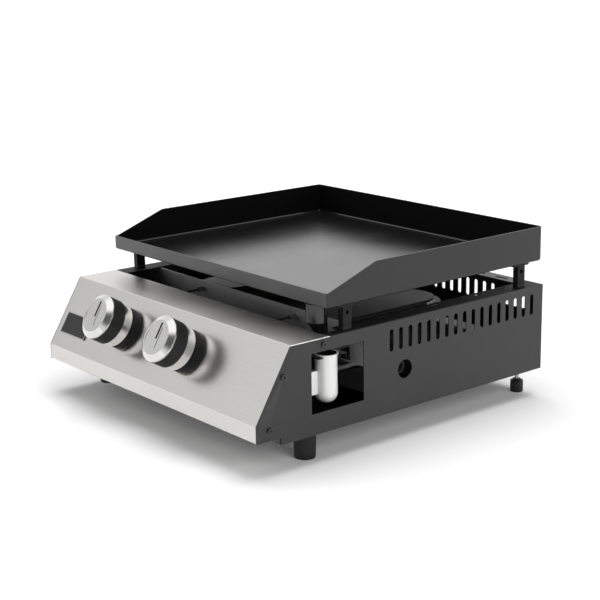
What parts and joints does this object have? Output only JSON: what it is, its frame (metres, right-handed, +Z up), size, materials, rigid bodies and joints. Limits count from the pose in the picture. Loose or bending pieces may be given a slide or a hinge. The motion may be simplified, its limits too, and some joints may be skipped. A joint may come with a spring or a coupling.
{
  "type": "table-top gas griddle",
  "caption": "Table-top gas griddle: sloped-front steel cabinet with push-and-turn burner knobs, a lift-off cooking plate with drain spout and a slide-out grease cup.",
  "frame": {"origin": "centre of the object's footprint box on the surface it stands on", "axes": "+X to the griddle's right (gas inlet and grease cup side), +Y to its back, +Z up"},
  "size_m": [0.442, 0.4854, 0.2193],
  "materials": {
    "aluminium": "satin",
    "badge": "dark satin with a bright rim",
    "brass": "turned",
    "burner": "heat-darkened stainless",
    "ceramic": "glazed ceramic",
    "cup": "bright",
    "galvanised": "galvanised",
    "inlet": "darkened brass",
    "knob_black": "gloss",
    "knob_matte": "matt",
    "lead": "silicone",
    "leg": "satin",
    "plate": "dark non-stick coat",
    "rubber": "matt",
    "screw": "black oxide",
    "side_panel": "satin black powder coat",
    "spout": "gloss black enamel",
    "spring": "wire",
    "stainless": "brushed stainless",
    "zinc": "zinc plated"
  },
  "bodies": {
    "cabinet": {"badge_plate": "badge", "bottom_pan": "side_panel", "burner_base_left": "burner", "burner_base_right": "burner", "burner_cover_left": "burner", "burner_cover_right": "burner", "burner_rail": "galvanised", "cup_holder": "side_panel", "electrodes": "ceramic", "firebox_baffle": "galvanised", "front_foot_left": "rubber", "front_foot_right": "rubber", "front_panel": "stainless", "gas_inlet": "inlet", "gas_tube_left": "aluminium", "gas_tube_right": "aluminium", "heat_shield": "galvanised", "igniter_left": "knob_matte", "igniter_right": "knob_matte", "ignition_leads": "lead", "jet_left": "brass", "jet_right": "brass", "knob_bezel_left": "knob_matte", "knob_bezel_right": "knob_matte", "leveller_nuts": "zinc", "manifold_pipe": "aluminium", "panel_screws": "screw", "rear_panel": "side_panel", "side_panel_left": "side_panel", "side_panel_right": "side_panel", "valve_body_left": "brass", "valve_body_right": "brass", "venturi_left": "burner", "venturi_right": "burner"},
    "griddle": {"griddle_tray": "plate", "leg_front_left": "leg", "leg_front_right": "leg", "leg_rear_left": "leg", "leg_rear_right": "leg", "leg_caps": "rubber", "drain_spout": "spout"},
    "cup": {"grease_cup": "cup"},
    "valve_left": {"valve_plug_left": "brass", "valve_spring_left": "spring"},
    "knob_left": {"valve_stem_left": "zinc", "knob_body_left": "aluminium", "knob_grip_left": "knob_matte", "knob_pointer_left": "knob_black"},
    "shutter_left": {"air_shutter_left": "zinc"},
    "stud_left": {"levelling_stud_left": "zinc"},
    "foot_left": {"levelling_pad_left": "rubber"},
    "valve_right": {"valve_plug_right": "brass", "valve_spring_right": "spring"},
    "knob_right": {"valve_stem_right": "zinc", "knob_body_right": "aluminium", "knob_grip_right": "knob_matte", "knob_pointer_right": "knob_black"},
    "shutter_right": {"air_shutter_right": "zinc"},
    "stud_right": {"levelling_stud_right": "zinc"},
    "foot_right": {"levelling_pad_right": "rubber"}
  },
  "joints": [
    {"name": "griddle_lift", "type": "slide", "parent": "cabinet", "child": "griddle", "axis": [0, 0, 1], "range_m": [0, 0.08]},
    {"name": "cup_pull", "type": "slide", "parent": "cabinet", "child": "cup", "axis": [1, 0, 0], "range_m": [0, 0.06]},
    {"name": "knob_left_turn", "type": "hinge", "parent": "cabinet", "child": "valve_left", "pos_m": [-0.0811, -0.19142, 0.108], "axis": [0, -0.8542, 0.52], "range_deg": [0, 180]},
    {"name": "knob_left_push", "type": "slide", "parent": "valve_left", "child": "knob_left", "axis": [0, 0.8542, -0.52], "range_m": [0, 0.003], "stiffness_N_per_m": 600, "springref_m": -0.004, "deforming": ["valve_spring_left"]},
    {"name": "air_shutter_left_turn", "type": "hinge", "parent": "cabinet", "child": "shutter_left", "pos_m": [-0.108, -0.09165, 0.113], "axis": [0, 1, 0], "range_deg": [0, 60]},
    {"name": "leveller_left_extend", "type": "slide", "parent": "cabinet", "child": "stud_left", "axis": [0, 0, -1], "range_m": [-0.003, 0.006]},
    {"name": "leveller_left_turn", "type": "hinge", "parent": "stud_left", "child": "foot_left", "pos_m": [-0.189, 0.22985, 0], "axis": [0, 0, -1], "range_deg": [-1350, 2700]},
    {"name": "knob_right_turn", "type": "hinge", "parent": "cabinet", "child": "valve_right", "pos_m": [0.0514, -0.19142, 0.108], "axis": [0, -0.8542, 0.52], "range_deg": [0, 180]},
    {"name": "knob_right_push", "type": "slide", "parent": "valve_right", "child": "knob_right", "axis": [0, 0.8542, -0.52], "range_m": [0, 0.003], "stiffness_N_per_m": 600, "springref_m": -0.004, "deforming": ["valve_spring_right"]},
    {"name": "air_shutter_right_turn", "type": "hinge", "parent": "cabinet", "child": "shutter_right", "pos_m": [0.108, -0.09165, 0.113], "axis": [0, 1, 0], "range_deg": [0, 60]},
    {"name": "leveller_right_extend", "type": "slide", "parent": "cabinet", "child": "stud_right", "axis": [0, 0, -1], "range_m": [-0.003, 0.006]},
    {"name": "leveller_right_turn", "type": "hinge", "parent": "stud_right", "child": "foot_right", "pos_m": [0.189, 0.22985, 0], "axis": [0, 0, -1], "range_deg": [-1350, 2700]}
  ],
  "couplings": [
    {"joint": "leveller_left_turn", "follows": "leveller_left_extend", "rad_per_m": 7854},
    {"joint": "leveller_right_turn", "follows": "leveller_right_extend", "rad_per_m": 7854}
  ]
}
